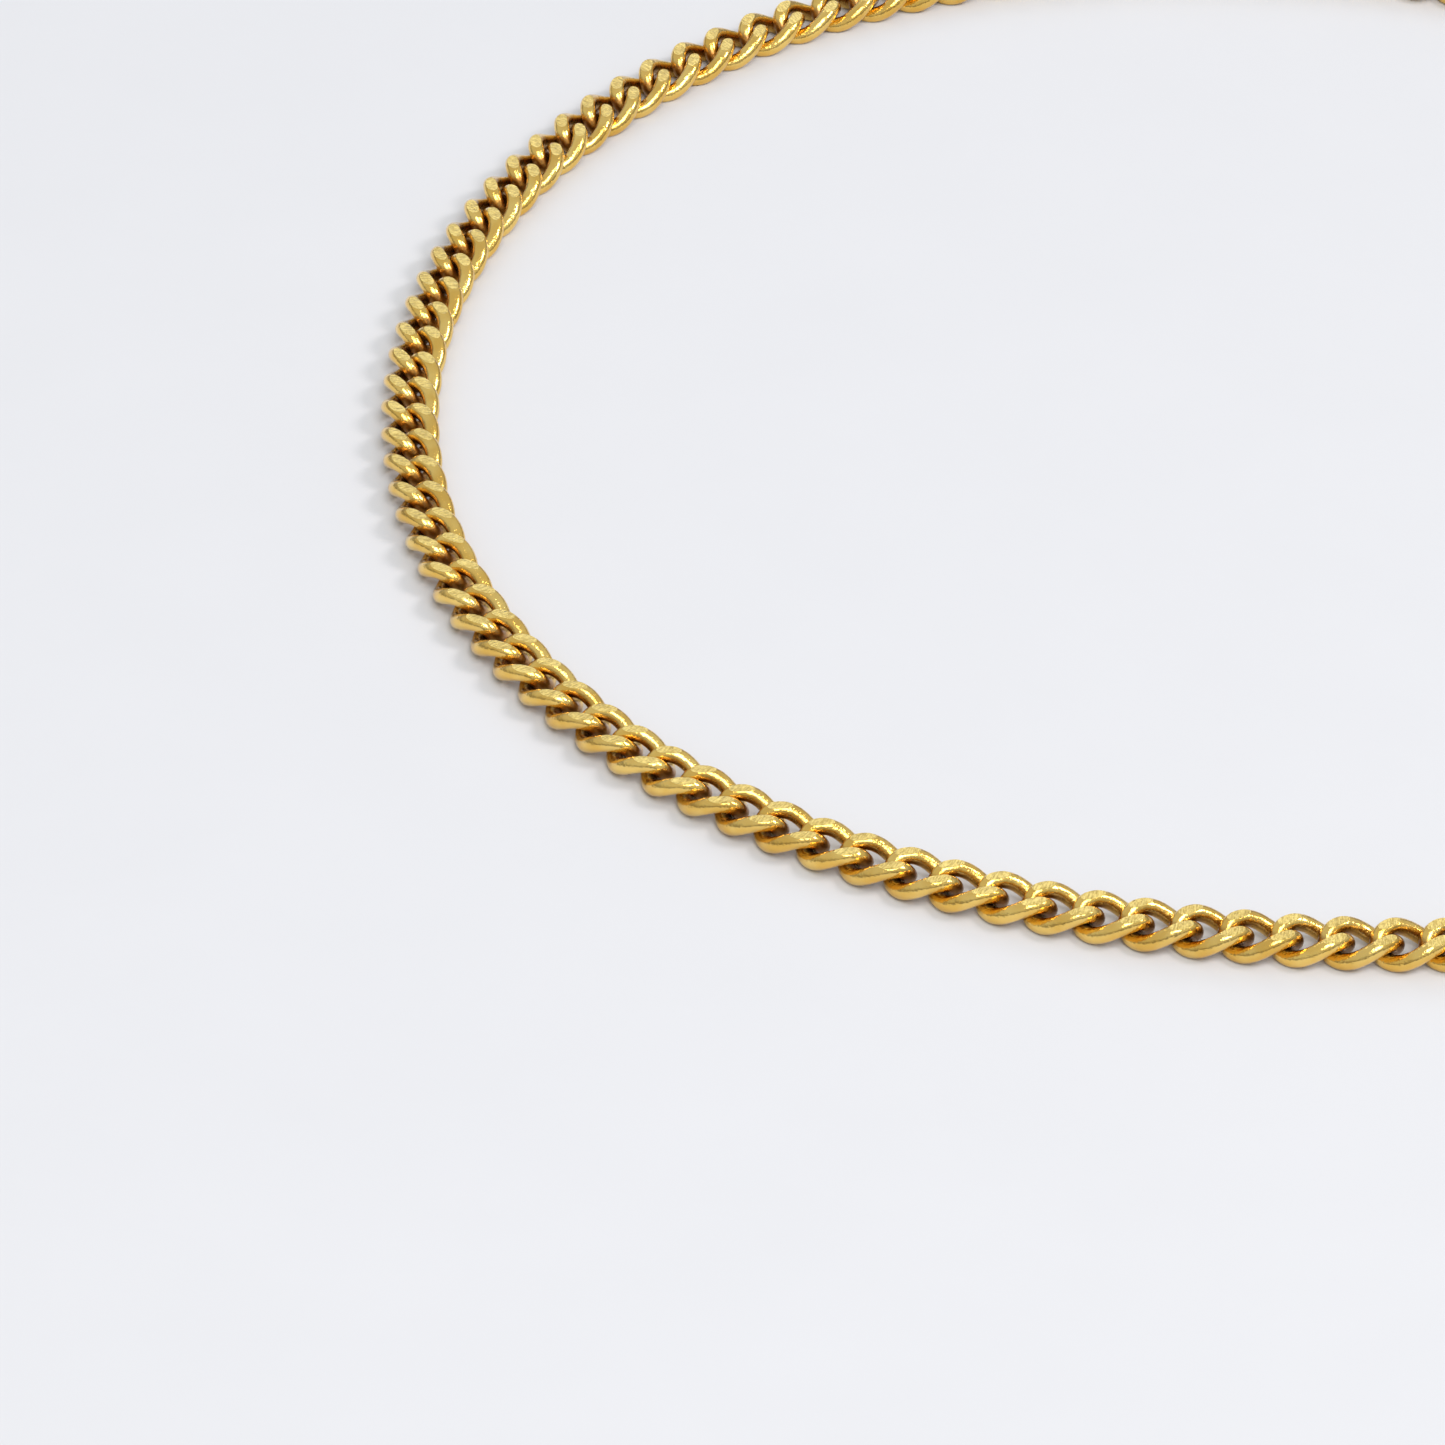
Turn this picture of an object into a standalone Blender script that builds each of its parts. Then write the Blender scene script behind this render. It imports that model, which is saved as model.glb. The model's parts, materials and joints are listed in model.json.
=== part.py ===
"""Curb-link chain necklace with a lobster clasp, laid unfastened in an open loop.

Metres, +Z up.  The chain lies flat on z = 0.  Every curb link is a round wire
bent to an oval, twisted along its length so that its two end bows cross the
neighbours' bows, then filed flat on the upper and the lower side.

The 108 links are built as 54 runs of two links.  Inside a run the two bows
are pulled against each other and joined; between runs the bows hang free in each other
and the run's origin sits on that crossing, which is its joint.
"""
import bpy
import bmesh
import math
from mathutils import Matrix, Vector

MM = 0.001

# ---- the chain ----------------------------------------------------------
LINK_COUNT = 108
LINKS_PER_RUN = 2
PITCH = 4.0 * MM                # mean distance from link to link
PITCH_SHIFT = 0.12 * MM         # pulled away from the run mate, so the two bows press
WIRE_DIAMETER = 1.4 * MM
LINK_HALF_LENGTH = 2.775 * MM   # wire centre line, along the chain
LINK_HALF_WIDTH = 1.85 * MM     # wire centre line, across the chain
OVAL_POWER = 2.15               # 2 is an ellipse, more is squarer
TWIST = math.radians(-53.0)     # turn of the wire from the middle to each bow
CHAIN_THICKNESS = 2.6 * MM      # after the flats are filed
WIRE_SIDES = 5
WIRE_STEPS = 12

# ---- how the chain lies: its heading, link by link ----------------------
ROOT_LINK = 53                  # the run with this link (0-based) carries the rest
ROOT_HEADING = math.radians(104.8)
TURN_PER_LINK = math.radians(-3.15)
SWING_LINKS = 118.0             # the slow swings of the heading repeat after this
HEADING_SWINGS = (              # cycles, sine part, cosine part (degrees)
    (1, 5.9, 0.4),
    (2, -2.7, 3.9),
    (3, -0.1, -2.6),
)

# ---- jump rings ---------------------------------------------------------
RING_RADIUS = 2.2 * MM          # wire centre line
RING_WIRE_RADIUS = 0.4 * MM
RING_CENTRE = Vector((3.5, 0.2, 1.681)) * MM    # from the middle of the end link
RING_LEAN = math.radians(30.0)
RING_DIP = math.radians(-8.0)
RING_STEPS = 20
RING_SIDES = 6

# ---- lobster clasp, measured from the middle of its eye -----------------
EYE_CENTRE = Vector((5.6, 0.3, 0.0)) * MM       # from the middle of the end link
EYE_HEIGHT = 2.05 * MM
EYE_RADIUS = 1.3 * MM
EYE_WIRE_RADIUS = 0.4 * MM
BODY_BOTTOM = 0.06 * MM
BODY_TOP = 2.34 * MM
BODY_MIDDLE = 0.5 * (BODY_BOTTOM + BODY_TOP)
HOUSING_CENTRE = Vector((3.9, 0.3, 0.0)) * MM
HOUSING_RADIUS = 2.15 * MM
HOOK_LINE = (                   # x, y, wire radius (mm)
    (3.9, 1.5, 0.85),
    (5.4, 2.25, 0.95),
    (7.2, 2.75, 1.0),
    (9.2, 2.65, 1.05),
    (10.9, 1.75, 1.05),
    (11.8, 0.2, 1.0),
    (11.6, -1.3, 0.95),
    (10.8, -2.2, 0.9),
    (9.6, -2.5, 0.8),
)
PIVOT = Vector((3.9, -0.9, 0.0)) * MM
SLOT_BOTTOM = 0.45 * MM
SLOT_TOP = 1.95 * MM
SLOT_BACK = 0.9 * MM
SLOT_FRONT = -4.5 * MM
SLOT_START = 2.25 * MM
SLOT_END = 7.2 * MM
PIN_RADIUS = 0.4 * MM
PIN_HOLE_RADIUS = 0.52 * MM
HUB_RADIUS = 1.0 * MM
HUB_BOTTOM = 1.12 * MM
HUB_TOP = 1.82 * MM
LEVER_LINE = (                  # x, y, wire radius (mm)
    (4.65, -1.3, 0.3),
    (6.0, -2.0, 0.45),
    (7.6, -2.4, 0.6),
    (9.25, -2.5, 0.62),
)
THUMB_LINE = (
    (3.6, -1.5, 0.3),
    (3.1, -2.5, 0.42),
    (2.75, -3.3, 0.55),
)
LEVER_MIDDLE = 1.4 * MM
SPRING_WIRE_RADIUS = 0.08 * MM
SPRING_COIL_RADIUS = 0.63 * MM
SPRING_BOTTOM = 0.62 * MM
SPRING_PITCH = 0.16 * MM
SPRING_TURNS = 2
SPRING_LEG = 0.75 * MM

GOLD = (0.64, 0.40, 0.10, 1.0)
SPRING_STEEL = (0.55, 0.54, 0.52, 1.0)


# ---- helpers ------------------------------------------------------------
def clear_scene():
    for old in list(bpy.data.objects):
        bpy.data.objects.remove(old, do_unlink=True)


def make_material(name, colour, roughness):
    material = bpy.data.materials.new(name)
    material.use_nodes = True
    shader = material.node_tree.nodes["Principled BSDF"]
    shader.inputs["Base Color"].default_value = colour
    shader.inputs["Roughness"].default_value = roughness
    shader.inputs["Metallic"].default_value = 1.0
    material.diffuse_color = colour
    return material


def add_object(name, mesh, matrix, parent=None, parent_matrix=None):
    obj = bpy.data.objects.new(name, mesh)
    bpy.context.scene.collection.objects.link(obj)
    if parent is None:
        obj.matrix_world = matrix
    else:
        obj.parent = parent
        obj.matrix_local = parent_matrix.inverted() @ matrix
    return obj


def shade(obj, material):
    obj.data.materials.clear()
    obj.data.materials.append(material)
    for polygon in obj.data.polygons:
        polygon.use_smooth = True
    obj.data.set_sharp_from_angle(angle=math.radians(50.0))


def ring_of_wire(bm, points, radii, sides, closed):
    """Sweep a round section along points and skin it; ends are capped if open."""
    count = len(points)
    rows = []
    side = None
    for i, point in enumerate(points):
        if closed:
            ahead = points[(i + 1) % count]
            behind = points[(i - 1) % count]
        else:
            ahead = points[min(i + 1, count - 1)]
            behind = points[max(i - 1, 0)]
        along = (ahead - behind).normalized()
        up = Vector((0.0, 0.0, 1.0))
        if abs(along.z) > 0.95:
            up = Vector((0.0, 1.0, 0.0))
        if side is None:
            side = along.cross(up).normalized()
        side = (side - along * side.dot(along)).normalized()
        over = side.cross(along).normalized()
        row = []
        for k in range(sides):
            angle = 2.0 * math.pi * (k + 0.5) / sides
            offset = side * math.cos(angle) + over * math.sin(angle)
            row.append(bm.verts.new(point + offset * radii[i]))
        rows.append(row)
    if closed:
        start_side = rows_twist(rows[0], rows[-1])
    last = count if closed else count - 1
    for i in range(last):
        row = rows[i]
        following = rows[(i + 1) % count]
        shift = start_side if closed and i == count - 1 else 0
        for k in range(sides):
            bm.faces.new((
                row[k],
                row[(k + 1) % sides],
                following[(k + 1 + shift) % sides],
                following[(k + shift) % sides],
            ))
    if not closed:
        bm.faces.new(rows[0])
        bm.faces.new(list(reversed(rows[-1])))


def rows_twist(first, last):
    """Which step of the first row lies nearest to the last row's start."""
    distances = [(vert.co - last[0].co).length for vert in first]
    return distances.index(min(distances))


def finish_mesh(bm, name):
    bmesh.ops.recalc_face_normals(bm, faces=bm.faces)
    mesh = bpy.data.meshes.new(name)
    bm.to_mesh(mesh)
    bm.free()
    return mesh


def wire_mesh(name, points, radii, sides, closed):
    bm = bmesh.new()
    ring_of_wire(bm, points, radii, sides, closed)
    return finish_mesh(bm, name)


def smooth_line(line, steps_between, height):
    """Catmull-Rom curve through (x, y, radius) rows given in millimetres."""
    rows = [line[0]] + list(line) + [line[-1]]
    points = []
    radii = []
    for i in range(1, len(rows) - 2):
        for step in range(steps_between):
            t = step / steps_between
            values = []
            for axis in range(3):
                a, b, c, d = (rows[i + j][axis] for j in (-1, 0, 1, 2))
                values.append(0.5 * (
                    2.0 * b
                    + (c - a) * t
                    + (2.0 * a - 5.0 * b + 4.0 * c - d) * t * t
                    + (3.0 * b - a - 3.0 * c + d) * t * t * t
                ))
            points.append(Vector((values[0] * MM, values[1] * MM, height)))
            radii.append(values[2] * MM)
    points.append(Vector((line[-1][0] * MM, line[-1][1] * MM, height)))
    radii.append(line[-1][2] * MM)
    return points, radii


def evaluated_mesh(obj, name):
    """The object's mesh with its modifiers applied, as a new mesh."""
    graph = bpy.context.evaluated_depsgraph_get()
    graph.update()
    mesh = bpy.data.meshes.new_from_object(obj.evaluated_get(graph))
    mesh.name = name
    return mesh


def combine(base, others, name):
    """Apply a chain of Booleans: others is a list of (mesh, operation)."""
    holder = bpy.data.objects.new("combine_base", base)
    bpy.context.scene.collection.objects.link(holder)
    tools = []
    for mesh, operation in others:
        tool = bpy.data.objects.new("combine_tool", mesh)
        bpy.context.scene.collection.objects.link(tool)
        tool.hide_render = True
        tool.display_type = "WIRE"
        modifier = holder.modifiers.new(operation.lower(), "BOOLEAN")
        modifier.operation = operation
        modifier.solver = "EXACT"
        modifier.object = tool
        tools.append(tool)
    result = evaluated_mesh(holder, name)
    for obj in [holder] + tools:
        bpy.data.objects.remove(obj, do_unlink=True)
    return result


def cylinder_mesh(name, centre, radius, bottom, top, segments, bevel=0.0):
    bm = bmesh.new()
    bmesh.ops.create_cone(
        bm, cap_ends=True, segments=segments, radius1=radius, radius2=radius,
        depth=top - bottom,
        matrix=Matrix.Translation((centre.x, centre.y, 0.5 * (top + bottom))),
    )
    if bevel > 0.0:
        rim = [e for e in bm.edges if abs(e.verts[0].co.z - e.verts[1].co.z) < 1e-7]
        bmesh.ops.bevel(bm, geom=rim, offset=bevel, segments=2, profile=0.5, affect="EDGES")
    return finish_mesh(bm, name)


def box_mesh(name, low, high):
    bm = bmesh.new()
    size = Vector(high) - Vector(low)
    middle = 0.5 * (Vector(high) + Vector(low))
    bmesh.ops.create_cube(
        bm, size=1.0,
        matrix=Matrix.Translation(middle) @ Matrix.Diagonal((size.x, size.y, size.z, 1.0)),
    )
    return finish_mesh(bm, name)


# ---- one curb link ------------------------------------------------------
def link_point(t):
    """Centre line of the twisted oval, at angle t."""
    c = math.cos(t)
    s = math.sin(t)
    x = LINK_HALF_LENGTH * math.copysign(abs(c) ** (2.0 / OVAL_POWER), c)
    y = LINK_HALF_WIDTH * math.copysign(abs(s) ** (2.0 / OVAL_POWER), s)
    twist = TWIST * x / LINK_HALF_LENGTH
    return Vector((x, y * math.cos(twist), y * math.sin(twist)))


def curb_link(bm, matrix):
    """A twisted oval of wire, filed flat above and below, added to bm."""
    part = bmesh.new()
    # A polygon section keeps the round wire's area when its corners stand out.
    radius = 0.5 * WIRE_DIAMETER * 1.06
    points = [link_point(2.0 * math.pi * i / WIRE_STEPS) for i in range(WIRE_STEPS)]
    ring_of_wire(part, points, [radius] * WIRE_STEPS, WIRE_SIDES, closed=True)
    bmesh.ops.recalc_face_normals(part, faces=part.faces)
    for side in (1.0, -1.0):
        cut = bmesh.ops.bisect_plane(
            part, geom=part.verts[:] + part.edges[:] + part.faces[:],
            dist=1e-8, plane_co=(0.0, 0.0, side * 0.5 * CHAIN_THICKNESS),
            plane_no=(0.0, 0.0, side), clear_outer=True,
        )
        rim = [e for e in cut["geom_cut"] if isinstance(e, bmesh.types.BMEdge)]
        bmesh.ops.edgeloop_fill(part, edges=rim)
    bmesh.ops.transform(part, matrix=matrix, verts=part.verts)
    bmesh.ops.recalc_face_normals(part, faces=part.faces)
    mesh = bpy.data.meshes.new("link_part")
    part.to_mesh(mesh)
    part.free()
    bm.from_mesh(mesh)
    bpy.data.meshes.remove(mesh)


# ---- where the links lie ------------------------------------------------
def heading(index):
    """Direction of the chain at a link (index may be a half)."""
    steps = index - (LINK_COUNT - 1) / 2.0
    angle = ROOT_HEADING + TURN_PER_LINK * steps
    for cycles, sine, cosine in HEADING_SWINGS:
        phase = 2.0 * math.pi * cycles * steps / SWING_LINKS
        angle += math.radians(sine * math.sin(phase) + cosine * math.cos(phase))
    return angle


def lay_links():
    """World matrices of every link and the crossing points between them."""
    centres = []
    crossings = []
    here = Vector((0.0, 0.0, 0.5 * CHAIN_THICKNESS))
    for i in range(LINK_COUNT):
        along = Vector((math.cos(heading(i)), math.sin(heading(i)), 0.0))
        if i > 0:
            here = here + along * (0.5 * PITCH)
        centres.append(here.copy())
        here = here + along * (0.5 * PITCH)
        crossings.append(here.copy())
    matrices = []
    for i, centre in enumerate(centres):
        mate = 1.0 if i % LINKS_PER_RUN == 0 else -1.0
        along = Vector((math.cos(heading(i)), math.sin(heading(i)), 0.0))
        # positive pulls the link away from its mate, so the bows press together
        place = centre - along * (mate * PITCH_SHIFT)
        matrices.append(Matrix.Translation(place) @ Matrix.Rotation(heading(i), 4, "Z"))
    return matrices, crossings


def run_name(run):
    first = run * LINKS_PER_RUN + 1
    return f"links_{first:03d}_{first + 1:03d}"


def build_chain(material):
    """All runs, parented outwards from the run that holds ROOT_LINK."""
    matrices, crossings = lay_links()
    runs = LINK_COUNT // LINKS_PER_RUN
    root = ROOT_LINK // LINKS_PER_RUN
    frames = {}
    objects = {}
    order = [root] + list(range(root - 1, -1, -1)) + list(range(root + 1, runs))
    for run in order:
        first = run * LINKS_PER_RUN
        if run == root:
            origin = 0.5 * (matrices[first].translation + matrices[first + 1].translation)
            turn = heading(first + 0.5)
        elif run < root:
            origin = crossings[first + 1]
            turn = heading(first + 1.5)
        else:
            origin = crossings[first - 1]
            turn = heading(first - 0.5)
        frame = Matrix.Translation(origin) @ Matrix.Rotation(turn, 4, "Z")
        inverse = frame.inverted()
        links = []
        for i in (first, first + 1):
            bm = bmesh.new()
            curb_link(bm, inverse @ matrices[i])
            links.append(finish_mesh(bm, "link"))
        mesh = combine(links[0], [(links[1], "UNION")], run_name(run))
        if run == root:
            obj = add_object(run_name(run), mesh, frame)
        else:
            inner = run + 1 if run < root else run - 1
            obj = add_object(run_name(run), mesh, frame, objects[inner], frames[inner])
        shade(obj, material.copy())
        frames[run] = frame
        objects[run] = obj
    return matrices, frames, objects


# ---- jump rings ---------------------------------------------------------
def jump_ring(name, end_frame, parent, parent_frame, material):
    """A round ring through an end bow; its origin is on that bow's wire."""
    tilt = Matrix.Rotation(RING_LEAN, 4, "X") @ Matrix.Rotation(RING_DIP, 4, "Y")
    ring_frame = Matrix.Translation(RING_CENTRE) @ tilt
    bow = Vector((LINK_HALF_LENGTH, 0.0, 0.5 * CHAIN_THICKNESS))
    points = []
    for i in range(RING_STEPS):
        angle = 2.0 * math.pi * (i + 0.5) / RING_STEPS
        local = Vector((RING_RADIUS * math.cos(angle), RING_RADIUS * math.sin(angle), 0.0))
        points.append(ring_frame @ local - bow)
    mesh = wire_mesh(name, points, [RING_WIRE_RADIUS] * RING_STEPS, RING_SIDES, closed=True)
    frame = end_frame @ Matrix.Translation(bow)
    obj = add_object(name, mesh, frame, parent, parent_frame)
    shade(obj, material.copy())
    return obj, frame


# ---- lobster clasp ------------------------------------------------------
def clasp_body(frame, parent, parent_frame, material):
    """Eye, neck, slotted housing and hook in one piece; origin in the eye."""
    points = []
    for i in range(20):
        angle = 2.0 * math.pi * (i + 0.5) / 20
        points.append(Vector((
            EYE_RADIUS * math.cos(angle), 0.0, EYE_HEIGHT + EYE_RADIUS * math.sin(angle),
        )))
    eye = wire_mesh("eye", points, [EYE_WIRE_RADIUS] * 20, 6, closed=True)
    housing = cylinder_mesh(
        "housing", HOUSING_CENTRE, HOUSING_RADIUS, BODY_BOTTOM, BODY_TOP, 28, 0.35 * MM,
    )
    neck = box_mesh(
        "neck", (1.25 * MM, -0.6 * MM, 1.05 * MM), (2.6 * MM, 0.6 * MM, 2.1 * MM),
    )
    hook_points, hook_radii = smooth_line(HOOK_LINE, 3, BODY_MIDDLE)
    hook = wire_mesh("hook", hook_points, hook_radii, 8, closed=False)
    slot = box_mesh(
        "slot", (SLOT_START, SLOT_FRONT, SLOT_BOTTOM), (SLOT_END, SLOT_BACK, SLOT_TOP),
    )
    hole = cylinder_mesh("hole", PIVOT, PIN_HOLE_RADIUS, -1.0 * MM, 4.0 * MM, 12)
    mesh = combine(housing, [
        (hook, "UNION"),
        (neck, "UNION"),
        (eye, "UNION"),
        (slot, "DIFFERENCE"),
        (hole, "DIFFERENCE"),
    ], "clasp_body")
    mesh.transform(Matrix.Translation((0.0, 0.0, -EYE_HEIGHT)))
    obj = add_object("clasp_body", mesh, frame, parent, parent_frame)
    shade(obj, material.copy())
    return obj


def clasp_lever(frame, parent, parent_frame, material):
    """Trigger with its hub round the pin; origin on the pin's axis."""
    hub = cylinder_mesh("hub", PIVOT, HUB_RADIUS, HUB_BOTTOM, HUB_TOP, 16)
    arm_points, arm_radii = smooth_line(LEVER_LINE, 3, LEVER_MIDDLE)
    arm = wire_mesh("arm", arm_points, arm_radii, 8, closed=False)
    thumb_points, thumb_radii = smooth_line(THUMB_LINE, 2, LEVER_MIDDLE)
    thumb = wire_mesh("thumb", thumb_points, thumb_radii, 8, closed=False)
    hole = cylinder_mesh("lever_hole", PIVOT, PIN_HOLE_RADIUS, -1.0 * MM, 4.0 * MM, 12)
    mesh = combine(hub, [
        (arm, "UNION"),
        (thumb, "UNION"),
        (hole, "DIFFERENCE"),
    ], "clasp_lever")
    mesh.transform(Matrix.Translation((-PIVOT.x, -PIVOT.y, -LEVER_MIDDLE)))
    obj = add_object("clasp_lever", mesh, frame, parent, parent_frame)
    shade(obj, material.copy())
    return obj


def clasp_spring(frame, parent, parent_frame, material):
    """Coil round the pin, below the hub, with a leg to each side."""
    points = []
    start = math.radians(-35.0)
    out = Vector((math.cos(start), math.sin(start), 0.0))
    tangent = Vector((math.sin(start), -math.cos(start), 0.0))
    low = Vector((0.0, 0.0, SPRING_BOTTOM))
    points.append(out * SPRING_COIL_RADIUS + tangent * SPRING_LEG + low)
    steps = 10 * SPRING_TURNS
    for i in range(steps + 1):
        angle = start + 2.0 * math.pi * SPRING_TURNS * i / steps
        points.append(Vector((
            SPRING_COIL_RADIUS * math.cos(angle),
            SPRING_COIL_RADIUS * math.sin(angle),
            SPRING_BOTTOM + SPRING_PITCH * SPRING_TURNS * i / steps,
        )))
    points.append(points[-1] - tangent * SPRING_LEG)
    points = [p - Vector((0.0, 0.0, LEVER_MIDDLE)) for p in points]
    mesh = wire_mesh("clasp_spring", points, [SPRING_WIRE_RADIUS] * len(points), 5, closed=False)
    obj = add_object("clasp_spring", mesh, frame, parent, parent_frame)
    shade(obj, material)
    return obj


def clasp_pin(frame, parent, parent_frame, material):
    mesh = cylinder_mesh(
        "clasp_pin", Vector((0.0, 0.0, 0.0)), PIN_RADIUS,
        BODY_BOTTOM - LEVER_MIDDLE, BODY_TOP - LEVER_MIDDLE, 16, 0.08 * MM,
    )
    obj = add_object("clasp_pin", mesh, frame, parent, parent_frame)
    shade(obj, material.copy())
    return obj


def centre_on_origin(root):
    """Slide the whole necklace so that its bounding box stands on the origin."""
    bpy.context.view_layer.update()
    lows = [1e9, 1e9, 1e9]
    highs = [-1e9, -1e9, -1e9]
    for obj in bpy.context.scene.objects:
        for vertex in obj.data.vertices:
            place = obj.matrix_world @ vertex.co
            for axis in range(3):
                lows[axis] = min(lows[axis], place[axis])
                highs[axis] = max(highs[axis], place[axis])
    root.location.x -= 0.5 * (lows[0] + highs[0])
    root.location.y -= 0.5 * (lows[1] + highs[1])
    root.location.z -= lows[2]
    bpy.context.view_layer.update()


def build():
    clear_scene()
    gold = make_material("gold_plated", GOLD, 0.28)
    steel = make_material("spring_steel", SPRING_STEEL, 0.35)
    matrices, frames, objects = build_chain(gold)
    last = len(frames) - 1

    # the clasp's ring hangs in the last link, the end ring in the first
    flat = Matrix.Translation((0.0, 0.0, -0.5 * CHAIN_THICKNESS))
    end_frame = matrices[-1] @ flat
    start_frame = matrices[0] @ flat @ Matrix.Rotation(math.pi, 4, "Z")
    ring, ring_frame = jump_ring(
        "clasp_jump_ring", end_frame, objects[last], frames[last], gold,
    )
    jump_ring("end_jump_ring", start_frame, objects[0], frames[0], gold)

    eye_frame = end_frame @ Matrix.Translation(EYE_CENTRE + Vector((0.0, 0.0, EYE_HEIGHT)))
    body = clasp_body(eye_frame, ring, ring_frame, gold)
    rise = Vector((PIVOT.x, PIVOT.y, LEVER_MIDDLE - EYE_HEIGHT))
    pivot_frame = eye_frame @ Matrix.Translation(rise)
    clasp_lever(pivot_frame, body, eye_frame, gold)
    clasp_pin(pivot_frame, body, eye_frame, gold)
    clasp_spring(pivot_frame, body, eye_frame, steel)
    centre_on_origin(objects[ROOT_LINK // LINKS_PER_RUN])


build()
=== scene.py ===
"""Looks of the curb-chain necklace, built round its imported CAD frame."""

import bpy
import bmesh
import json
import math
import random
from mathutils import Matrix, Vector

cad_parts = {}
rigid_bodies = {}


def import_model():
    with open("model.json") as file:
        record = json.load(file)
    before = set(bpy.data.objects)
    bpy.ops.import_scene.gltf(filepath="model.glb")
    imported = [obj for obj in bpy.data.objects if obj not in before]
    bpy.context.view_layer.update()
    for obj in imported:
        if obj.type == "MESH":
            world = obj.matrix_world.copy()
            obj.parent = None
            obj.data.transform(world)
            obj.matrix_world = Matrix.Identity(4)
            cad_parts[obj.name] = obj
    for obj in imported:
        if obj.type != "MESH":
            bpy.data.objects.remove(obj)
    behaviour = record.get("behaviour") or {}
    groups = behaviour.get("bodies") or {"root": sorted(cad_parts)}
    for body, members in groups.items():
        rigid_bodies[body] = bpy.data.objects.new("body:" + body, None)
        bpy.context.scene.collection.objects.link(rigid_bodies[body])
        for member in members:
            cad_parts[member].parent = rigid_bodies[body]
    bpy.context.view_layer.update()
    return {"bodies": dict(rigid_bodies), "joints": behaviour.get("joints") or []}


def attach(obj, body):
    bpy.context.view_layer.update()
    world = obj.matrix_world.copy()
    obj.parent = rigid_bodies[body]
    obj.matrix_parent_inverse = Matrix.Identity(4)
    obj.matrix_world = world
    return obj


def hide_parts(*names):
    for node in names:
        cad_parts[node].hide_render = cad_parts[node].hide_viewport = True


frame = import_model()

MM = 0.001
SAME_PLACE = 1e-7               # metres; points closer than this are one

# ---- the curb link (as the CAD, with a finer mesh) ------------------------
WIRE_RADIUS = 0.7 * MM
LINK_HALF_LENGTH = 2.775 * MM
LINK_HALF_WIDTH = 1.85 * MM
OVAL_POWER = 2.15
TWIST = math.radians(-53.0)
CHAIN_THICKNESS = 2.6 * MM
HALF_PITCH = 2.0 * MM
WIRE_STEPS = 56
WIRE_SIDES = 18
LINE_SAMPLES = 1440             # fine steps by which the wire's length is measured
RIM_BEVEL = 0.11 * MM
RIM_SEGMENTS = 3
FREE_SHIFT = 0.04 * MM          # slack at the crossings that carry a joint
LINK_ROLL = 0.6                 # degrees that a link may lean either way
LINK_YAW = 0.3                  # degrees that a link may turn either way
SEED = 7

# ---- jump rings (as the CAD) ----------------------------------------------
RING_RADIUS = 2.2 * MM
RING_WIRE_RADIUS = 0.4 * MM
RING_FROM_BOW = Vector((0.725, 0.2, 0.381)) * MM
RING_LEAN = math.radians(30.0)
RING_DIP = math.radians(-8.0)
RING_SPLIT = math.radians(115.0)    # where the ring's ends meet
RING_SPLIT_GAP = 0.05 * MM
RING_STEPS = 72
RING_SIDES = 20
RING_SHARP = math.radians(50.0)     # edges past this angle are shaded sharp

# ---- lobster clasp (as the CAD) -------------------------------------------
PIVOT = Vector((3.9, -0.9, 1.4)) * MM    # from below the middle of the clasp's eye
EYE_HEIGHT = 2.05 * MM
EYE_RADIUS = 1.3 * MM
EYE_WIRE_RADIUS = 0.42 * MM
EYE_STEPS = 48
EYE_SIDES = 16
NECK_LOW = Vector((1.25, -0.6, 1.05)) * MM
NECK_HIGH = Vector((2.6, 0.6, 2.1)) * MM
HOUSING_CENTRE = Vector((3.9, 0.3, 1.2)) * MM
HOUSING_RADIUS = 2.15 * MM
HOUSING_HALF_HEIGHT = 1.14 * MM
HOUSING_EDGE = 0.55 * MM
HOOK_LINE = (                   # x, y, wire radius (mm)
    (3.9, 1.5, 0.85),
    (5.4, 2.25, 0.95),
    (7.2, 2.75, 1.0),
    (9.2, 2.65, 1.05),
    (10.9, 1.75, 1.05),
    (11.8, 0.2, 1.0),
    (11.6, -1.3, 0.95),
    (10.8, -2.2, 0.9),
    (9.6, -2.5, 0.8),
)
LEVER_LINE = (                  # x, y, wire radius (mm)
    (4.65, -1.3, 0.3),
    (6.0, -2.0, 0.45),
    (7.6, -2.4, 0.6),
    (9.25, -2.5, 0.62),
)
THUMB_LINE = (                  # x, y, wire radius (mm)
    (3.6, -1.5, 0.3),
    (3.1, -2.5, 0.42),
    (2.75, -3.3, 0.55),
)
LINE_STEPS = 8                  # steps between two rows of a line
LINE_SIDES = 24
DOME_STEPS = 6
DOME_SPAN = 6.3                 # a little over DOME_STEPS, so the tip keeps some width
SLOT_LOW = Vector((2.25, -4.5, 0.45)) * MM
SLOT_HIGH = Vector((7.2, 0.9, 1.95)) * MM
PIN_RADIUS = 0.4 * MM
PIN_HALF_HEIGHT = 1.14 * MM
PIN_EDGE = 0.14 * MM
HOLE_RADIUS = 0.52 * MM
HOLE_HALF_HEIGHT = 3.0 * MM     # well past both faces of the housing
HUB_RADIUS = 1.0 * MM
HUB_BOTTOM = 1.12 * MM
HUB_TOP = 1.82 * MM
HUB_EDGE = 0.08 * MM
TURNED_SIDES = 48
TURNED_EDGE_SEGMENTS = 5
CAST_VOXEL = 0.075 * MM
CAST_SOFTENING = 0.5
CAST_SOFTENING_ROUNDS = 5
SPRING_WIRE_RADIUS = 0.08 * MM
SPRING_COIL_RADIUS = 0.63 * MM
SPRING_BOTTOM = 0.62 * MM
SPRING_PITCH = 0.16 * MM
SPRING_TURNS = 2
SPRING_LEG = 0.75 * MM
SPRING_START = math.radians(-35.0)
SPRING_STEPS = 32               # steps in one turn
SPRING_SIDES = 10

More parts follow.
